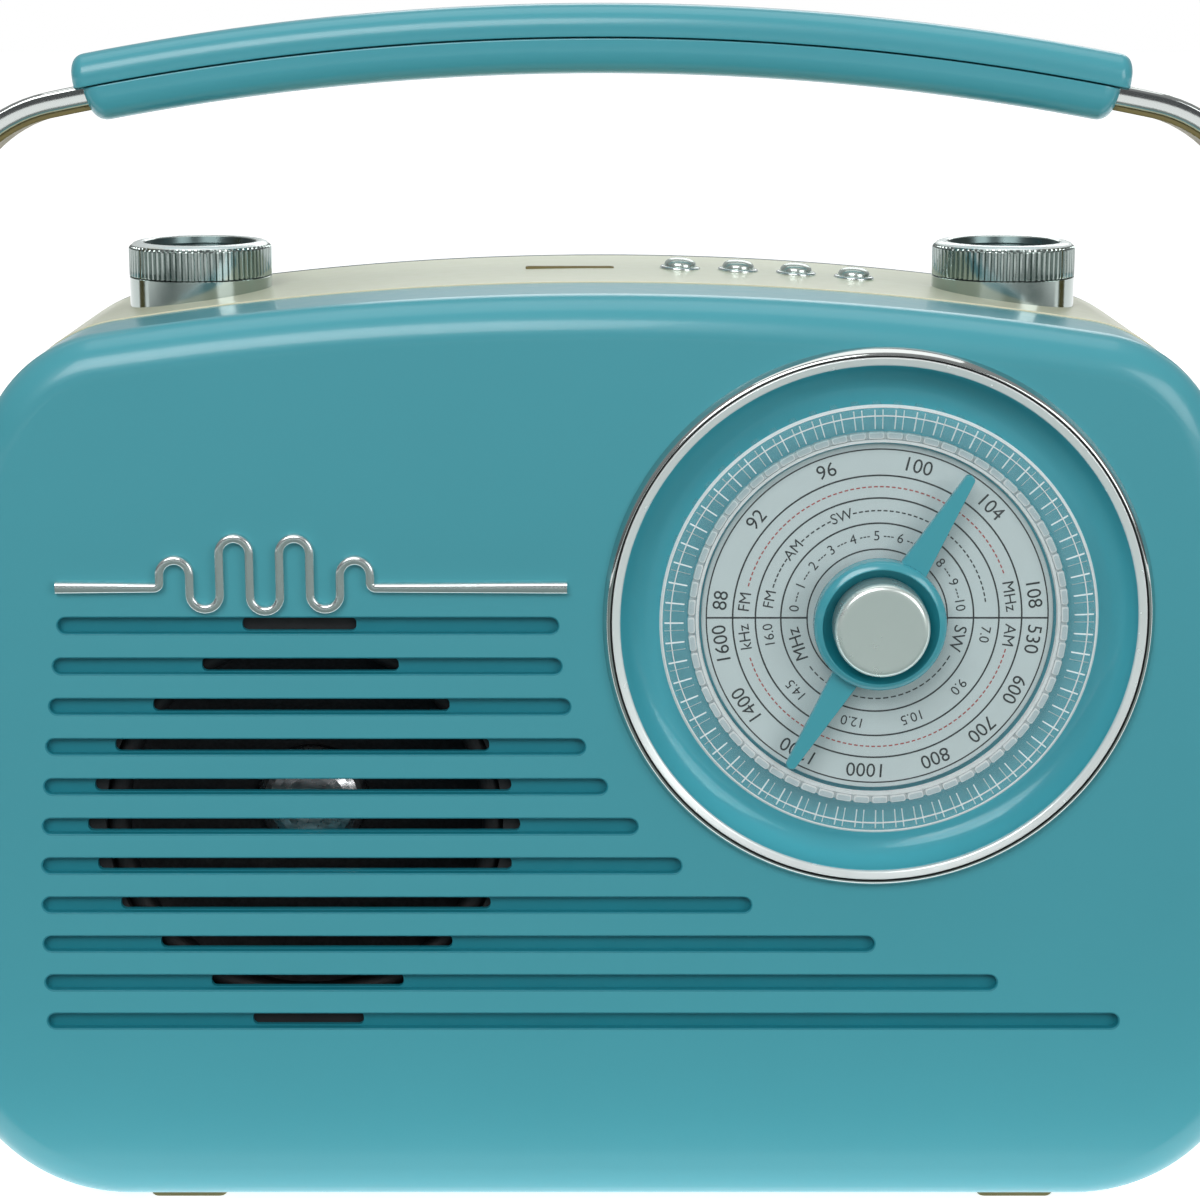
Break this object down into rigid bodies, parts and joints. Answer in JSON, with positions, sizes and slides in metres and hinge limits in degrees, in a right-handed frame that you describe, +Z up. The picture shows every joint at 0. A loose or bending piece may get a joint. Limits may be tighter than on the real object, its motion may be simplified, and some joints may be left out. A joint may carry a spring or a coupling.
{
  "type": "portable radio",
  "caption": "Retro portable radio with rolled two-tone case, slotted grille, round tuning dial, knurled top knobs, push buttons, fold-down bow handle and telescopic aerial.",
  "frame": {"origin": "middle of the footprint, on the surface the feet stand on", "axes": "+X to the right seen from the front, front faces -Y, +Z up"},
  "size_m": [0.3292, 0.1187, 0.2826],
  "materials": {
    "shell_plastic": "satin moulded teal plastic",
    "band_plastic": "cream pearl moulded plastic",
    "tan_plastic": "tan plastic",
    "chrome": "bright chrome plate",
    "bright_metal": "zinc plated steel",
    "clear_plastic": "clear moulded plastic",
    "scale_print": "printed white scale",
    "black_plastic": "black plastic",
    "board": "green circuit board",
    "rubber": "black rubber",
    "paper_cone": "black pressed paper",
    "nylon": "natural nylon",
    "ferrite": "grey ferrite"
  },
  "bodies": {
    "case": {"front_shell": "shell_plastic", "mid_frame": "band_plastic", "rear_shell": "shell_plastic", "rear_ledge": "shell_plastic", "battery_contacts": "bright_metal", "feet": "tan_plastic", "case_screws": "bright_metal", "badge_trim": "chrome", "dial_bezel": "chrome", "dial_dish": "shell_plastic", "dial_scale": "scale_print", "tuning_capacitor": "nylon", "volume_control": "bright_metal", "band_switch": "black_plastic", "knob_collars": "chrome", "control_nuts": "bright_metal", "button_collars": "chrome", "button_board": "board", "button_switches": "black_plastic", "card_slot_trim": "tan_plastic", "card_reader": "bright_metal", "pivot_screws": "bright_metal", "pivot_caps": "chrome", "pivot_washers": "nylon", "speaker_frame": "black_plastic", "speaker_gasket": "rubber", "speaker_magnet": "bright_metal", "speaker_surround": "rubber", "speaker_screws": "bright_metal", "main_board": "board", "board_parts": "black_plastic", "board_screws": "bright_metal", "ferrite_aerial": "ferrite", "ferrite_holders": "nylon", "power_jack": "black_plastic", "headphone_jack": "black_plastic"},
    "tuner": {"tuning_wheel": "clear_plastic", "dial_pointer": "shell_plastic", "dial_cap": "chrome", "dial_screw": "bright_metal", "tuning_shaft": "bright_metal"},
    "volume": {"volume_knob": "chrome", "volume_shaft": "bright_metal"},
    "band": {"band_knob": "chrome", "band_shaft": "bright_metal"},
    "button_1": {"button_1": "chrome"},
    "button_2": {"button_2": "chrome"},
    "button_3": {"button_3": "chrome"},
    "button_4": {"button_4": "chrome"},
    "handle": {"grip_top": "shell_plastic", "grip_bottom": "shell_plastic", "handle_strap": "chrome", "handle_liner": "tan_plastic", "grip_screws": "bright_metal"},
    "battery_door": {"battery_door": "shell_plastic"},
    "cone": {"speaker_cone": "paper_cone", "speaker_coil": "chrome"},
    "aerial_base": {"aerial_base": "chrome"},
    "aerial_tube": {"aerial_tube": "chrome"},
    "aerial_rod": {"aerial_rod": "chrome"}
  },
  "joints": [
    {"name": "tuning", "type": "hinge", "parent": "case", "child": "tuner", "pos_m": [0.0628, -0.0487, 0.146], "axis": [0, -1, 0], "range_deg": [-59.4, 120.6]},
    {"name": "volume", "type": "hinge", "parent": "case", "child": "volume", "pos_m": [0.0974, 0.0146, 0.2181], "axis": [0, 0, 1], "range_deg": [-150, 150]},
    {"name": "band", "type": "hinge", "parent": "case", "child": "band", "pos_m": [-0.0974, 0.0146, 0.2181], "axis": [0, 0, 1], "range_deg": [-60, 30]},
    {"name": "press_1", "type": "slide", "parent": "case", "child": "button_1", "axis": [-0.0549, 0, -0.9985], "range_m": [0, 0.0009], "stiffness_N_per_m": 600},
    {"name": "press_2", "type": "slide", "parent": "case", "child": "button_2", "axis": [-0.0549, 0, -0.9985], "range_m": [0, 0.0009], "stiffness_N_per_m": 600},
    {"name": "press_3", "type": "slide", "parent": "case", "child": "button_3", "axis": [-0.0549, 0, -0.9985], "range_m": [0, 0.0009], "stiffness_N_per_m": 600},
    {"name": "press_4", "type": "slide", "parent": "case", "child": "button_4", "axis": [-0.0549, 0, -0.9985], "range_m": [0, 0.0009], "stiffness_N_per_m": 600},
    {"name": "handle_fold", "type": "hinge", "parent": "case", "child": "handle", "pos_m": [0, 0.0146, 0.13], "axis": [-1, 0, 0], "range_deg": [-90, 90]},
    {"name": "battery_door_open", "type": "hinge", "parent": "case", "child": "battery_door", "pos_m": [0, 0.0582, 0.0226], "axis": [-1, 0, 0], "range_deg": [0, 85]},
    {"name": "cone_travel", "type": "slide", "parent": "case", "child": "cone", "axis": [0, -1, 0], "range_m": [-0.001, 0.001], "stiffness_N_per_m": 1500, "deforming": ["speaker_surround"]},
    {"name": "aerial_swing", "type": "hinge", "parent": "case", "child": "aerial_base", "pos_m": [-0.116, 0.0538, 0.196], "axis": [0, -1, 0], "range_deg": [0, 180]},
    {"name": "aerial_tilt", "type": "hinge", "parent": "aerial_base", "child": "aerial_tube", "pos_m": [-0.116, 0.0538, 0.196], "axis": [0, 0, 1], "range_deg": [0, 90]},
    {"name": "aerial_draw", "type": "slide", "parent": "aerial_tube", "child": "aerial_rod", "axis": [1, 0, 0], "range_m": [0, 0.19]}
  ]
}
